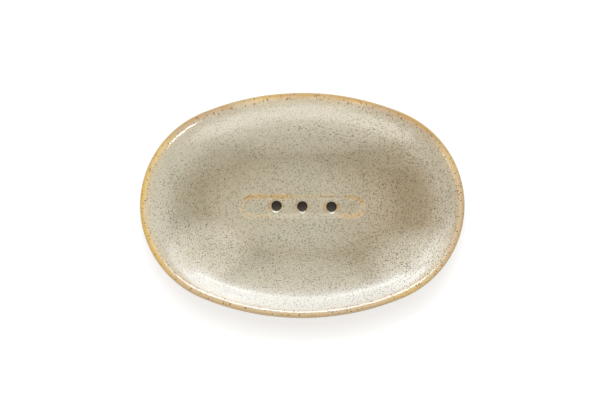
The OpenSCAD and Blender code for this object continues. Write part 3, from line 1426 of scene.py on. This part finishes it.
@dataclass
class FootRing:
    """Ring of bare clay under the bowl, with its lower edges wiped round.

    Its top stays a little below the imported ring's, inside the bowl's floor.
    """

    plan: OvalPlan
    clay: bpy.types.Material
    low: float
    high: float
    outer_inset: float
    width: float = 7.0
    rounding: float = 0.7
    top_gap: float = 0.2
    side_steps: int = 3
    edge_steps: int = 6
    seat_steps: int = 5

    def build(self) -> bpy.types.Object:
        """Builds the ring and dresses it.

        Returns:
            The ring's object.
        """
        mesh = bmesh.new()
        outer, inner = self.outer_inset, self.outer_inset + self.width
        edge, top = self.rounding, self.high - self.top_gap
        pen = ProfilePen(mesh, self.plan, Vector((outer, top)))
        start = pen.tip
        pen.line(Vector((outer, self.low + edge)), self.side_steps)
        pen.arc(Vector((outer + edge, self.low + edge)), 90, self.edge_steps)
        pen.line(Vector((inner - edge, self.low)), self.seat_steps)
        pen.arc(Vector((inner - edge, self.low + edge)), 90, self.edge_steps)
        pen.line(Vector((inner, top)), self.side_steps)
        bmesh.ops.contextual_create(mesh, geom=[pen.tip, start])
        self.plan.carry_round(mesh)
        bmesh.ops.recalc_face_normals(mesh, faces=mesh.faces)
        return make_object("clay_foot_ring", mesh, self.clay)


class Corner(Enum):
    """Corners of the dish that stand on a pad."""

    FRONT_LEFT = "front_left"
    FRONT_RIGHT = "front_right"
    BACK_LEFT = "back_left"
    BACK_RIGHT = "back_right"


@dataclass
class BumperPad:
    """Round stick-on pad whose rounded side faces the counter.

    The flat share is of its radius, and the round share of its height.
    """

    corner: Corner
    silicone: bpy.types.Material
    flat_share: float = 0.62
    round_share: float = 0.8
    round_steps: int = 10
    sides: int = 64

    @property
    def node(self) -> str:
        """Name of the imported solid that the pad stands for."""
        return f"bumper_pad_{self.corner.value}"

    def build(self) -> bpy.types.Object:
        """Builds the pad in the space of its solid and dresses it.

        Returns:
            The pad's object.
        """
        low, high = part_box(self.node)
        middle = (low + high) / 2
        radius, height = (high.x - low.x) / 2, high.z - low.z
        flat = radius * self.flat_share
        places = [(flat, 0)]
        for step in range(1, self.round_steps + 1):
            turn = math.pi / 2 * step / self.round_steps
            rise = height * (1 - math.cos(turn)) * self.round_share
            places.append((flat + (radius - flat) * math.sin(turn), rise))
        places += [(radius, height), (0, height)]
        mesh = bmesh.new()
        foot = Vector((middle.x, middle.y, low.z))
        tip = mesh.verts.new(foot)
        for reach, rise in places:
            tip = bmesh.ops.extrude_vert_indiv(mesh, verts=[tip])["verts"][0]
            tip.co = foot + Vector((reach, 0, rise))
        profile, turn = mesh.verts[:] + mesh.edges[:], 2 * math.pi
        bmesh.ops.spin(mesh, geom=profile, cent=foot, axis=UP, angle=turn, steps=self.sides, use_merge=True)
        bmesh.ops.remove_doubles(mesh, verts=mesh.verts, dist=MERGE_DISTANCE)
        bmesh.ops.recalc_face_normals(mesh, faces=mesh.faces)
        return make_object(f"silicone_pad_{self.corner.value}", mesh, self.silicone)


@dataclass(frozen=True)
class Softbox:
    """Rectangular lamp that faces the dish. Its glow is how bright its own surface looks."""

    name: str
    place: tuple[float, float, float]
    width: float
    depth: float
    glow: float
    tint: Colour = (1.0, 1.0, 1.0)

    def build(self) -> None:
        """Adds the lamp to the scene."""
        lamp = bpy.data.lights.new(self.name, "AREA")
        lamp.shape = "RECTANGLE"
        lamp.size = self.width
        lamp.size_y = self.depth
        lamp.energy = self.glow * math.pi * self.width * self.depth
        lamp.color = self.tint
        holder = bpy.data.objects.new(self.name, lamp)
        holder.location = self.place
        holder.rotation_euler = (-Vector(self.place)).to_track_quat("-Z", "Y").to_euler()
        bpy.context.scene.collection.objects.link(holder)


@dataclass
class Studio:
    """Ground, lamps, surrounding light and camera. Lengths here are metres.

    The camera looks at a point of the dish's middle axis at the look height, and a pixel has its size
    at the scale height above that point. The shift is in pixels.
    """

    ground: PaleFloor
    lamps: tuple[Softbox, ...] = (
        Softbox("lip_softbox", (0.0, 0.145, 0.9), 0.085, 0.14, 16.5),
        Softbox("back_window", (0.01, 0.39, 0.9), 0.38, 0.26, 5.6, (0.8, 0.88, 1.0)),
        Softbox("wide_window", (0.0, 0.44, 0.91), 0.8, 0.4, 2.0, (0.8, 0.88, 1.0)),
        Softbox("left_strip", (-0.11, 0.45, 0.88), 0.14, 0.018, 12.0),
        Softbox("right_strip", (0.12, 0.455, 0.88), 0.16, 0.018, 12.0),
        Softbox("low_strip", (0.05, 0.31, 0.88), 0.02, 0.14, 8.0),
        Softbox("right_wing", (0.27, 0.17, 0.9), 0.28, 0.36, 0.9),
        Softbox("left_wing", (-0.27, 0.24, 0.9), 0.28, 0.32, 2.2),
        Softbox("front_softbox", (0.0, -0.44, 0.9), 0.5, 0.28, 2.4, (1.0, 0.94, 0.84)),
        Softbox("front_right_softbox", (0.078, -0.138, 0.9), 0.07, 0.036, 22.0),
        Softbox("front_left_softbox", (-0.1, -0.062, 0.9), 0.05, 0.036, 18.0),
    )
    ambient: float = 0.43
    white: Colour = (1.0, 1.0, 1.0)
    camera_distance: float = 0.9
    camera_tilt: float = 1.5
    pixel: float = 0.441 * MM
    picture_width: float = 600
    look_height: float = 0.02
    scale_height: float = 0.01
    shift: tuple[float, float] = (-2.3, 5.6)
    sensor_width: float = 36
    ground_reach: float = 2.0

    def build(self) -> None:
        """Builds the studio."""
        self.lay_ground()
        for lamp in self.lamps:
            lamp.build()
        self.light_room()
        self.set_camera()
        bpy.context.scene.view_settings.view_transform = "Standard"

    def lay_ground(self) -> None:
        """Lays the ground that the dish stands on."""
        mesh = bmesh.new()
        bmesh.ops.create_grid(mesh, x_segments=1, y_segments=1, size=self.ground_reach)
        ground = make_object("ground", mesh, self.ground.material())

    def light_room(self) -> None:
        """Sets the even light from all round, which the camera and the gloss see as white."""
        sheet = NodeSheet(bpy.data.worlds.new("room"))
        strength = sheet.fade(sheet.seen(), Fade(0, 1, self.ambient, 1))
        light = sheet.add("ShaderNodeBackground", {"Color": self.white, "Strength": strength})
        bpy.context.scene.world = sheet.finish(light, "ShaderNodeOutputWorld")

    def set_camera(self) -> None:
        """Hangs the camera almost straight above the dish."""
        camera = bpy.data.cameras.new("camera")
        holder = bpy.data.objects.new("camera", camera)
        tilt = math.radians(self.camera_tilt)
        reach = self.camera_distance
        holder.location = (0, -reach * math.sin(tilt), self.look_height + reach * math.cos(tilt))
        holder.rotation_euler = (tilt, 0, 0)
        camera.sensor_width = self.sensor_width
        distance = reach - self.scale_height
        camera.lens = self.sensor_width * distance / (self.picture_width * self.pixel)
        camera.shift_x = self.shift[0] / self.picture_width
        camera.shift_y = self.shift[1] / self.picture_width
        bpy.context.scene.collection.objects.link(holder)
        bpy.context.scene.camera = holder


def make_object(name: str, mesh: bmesh.types.BMesh, material: bpy.types.Material) -> bpy.types.Object:
    """Turns a finished mesh into an object at the origin.

    Args:
        name: Name of the piece.
        mesh: Its mesh, with every place in its vertices. It is freed here.
        material: Its finish.

    Returns:
        The new object, shaded smooth.
    """
    data = bpy.data.meshes.new(name)
    mesh.to_mesh(data)
    mesh.free()
    for polygon in data.polygons:
        polygon.use_smooth = True
    data.materials.append(material)
    piece = bpy.data.objects.new(name, data)
    bpy.context.scene.collection.objects.link(piece)
    return piece


def report(piece: bpy.types.Object) -> None:
    """Logs a piece's name, faces and size."""
    size = ", ".join(f"{side / MM:.1f}" for side in piece.dimensions)
    LOG.info("%s: %d faces, %s mm", piece.name, len(piece.data.polygons), size)


def install(piece: bpy.types.Object, nodes: list[str]) -> None:
    """Makes a piece part of the dish.

    Args:
        piece: The finished piece.
        nodes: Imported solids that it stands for.
    """
    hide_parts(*nodes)
    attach(piece, "root")
    report(piece)


def read_drains(record: dict) -> list[Drain]:
    """Reads the drain holes from the record's bores."""
    bores = [mount for mount in record["mounts"] if mount["kind"] == "bore"]
    return [Drain(bore["pos_m"][0] / MM, bore["pos_m"][1] / MM, bore["dims"]["r_mm"]) for bore in bores]


def main() -> None:
    """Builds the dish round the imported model."""
    logging.basicConfig(level=logging.INFO, format="%(message)s")
    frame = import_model()
    low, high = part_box("glaze_coat")
    ring_low, ring_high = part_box("foot_ring")
    plan = OvalPlan(round((high.x - low.x) / MM, 1), round((high.y - low.y) / MM, 1))
    section = BowlSection(height=high.z / MM, base=low.z / MM, floor_reach=plan.end_radius)
    drains = read_drains(frame["record"])
    clay = BareClay().material()
    bowl = GlazedBowl(plan, section, DrainWell(), drains, SpeckledGlaze())
    install(bowl.build(), ["glaze_coat"])
    outer_inset = plan.length / 2 - ring_high.x / MM
    ring = FootRing(plan, clay, ring_low.z / MM, ring_high.z / MM, outer_inset)
    install(ring.build(), ["foot_ring"])
    silicone = ClearSilicone().material()
    for corner in Corner:
        pad = BumperPad(corner, silicone)
        install(pad.build(), [pad.node])
    body = frame["nodes"]["stoneware_body"]
    for slot in body.material_slots:
        slot.material = clay
    Studio(PaleFloor()).build()


if __name__ == "__main__":
    main()
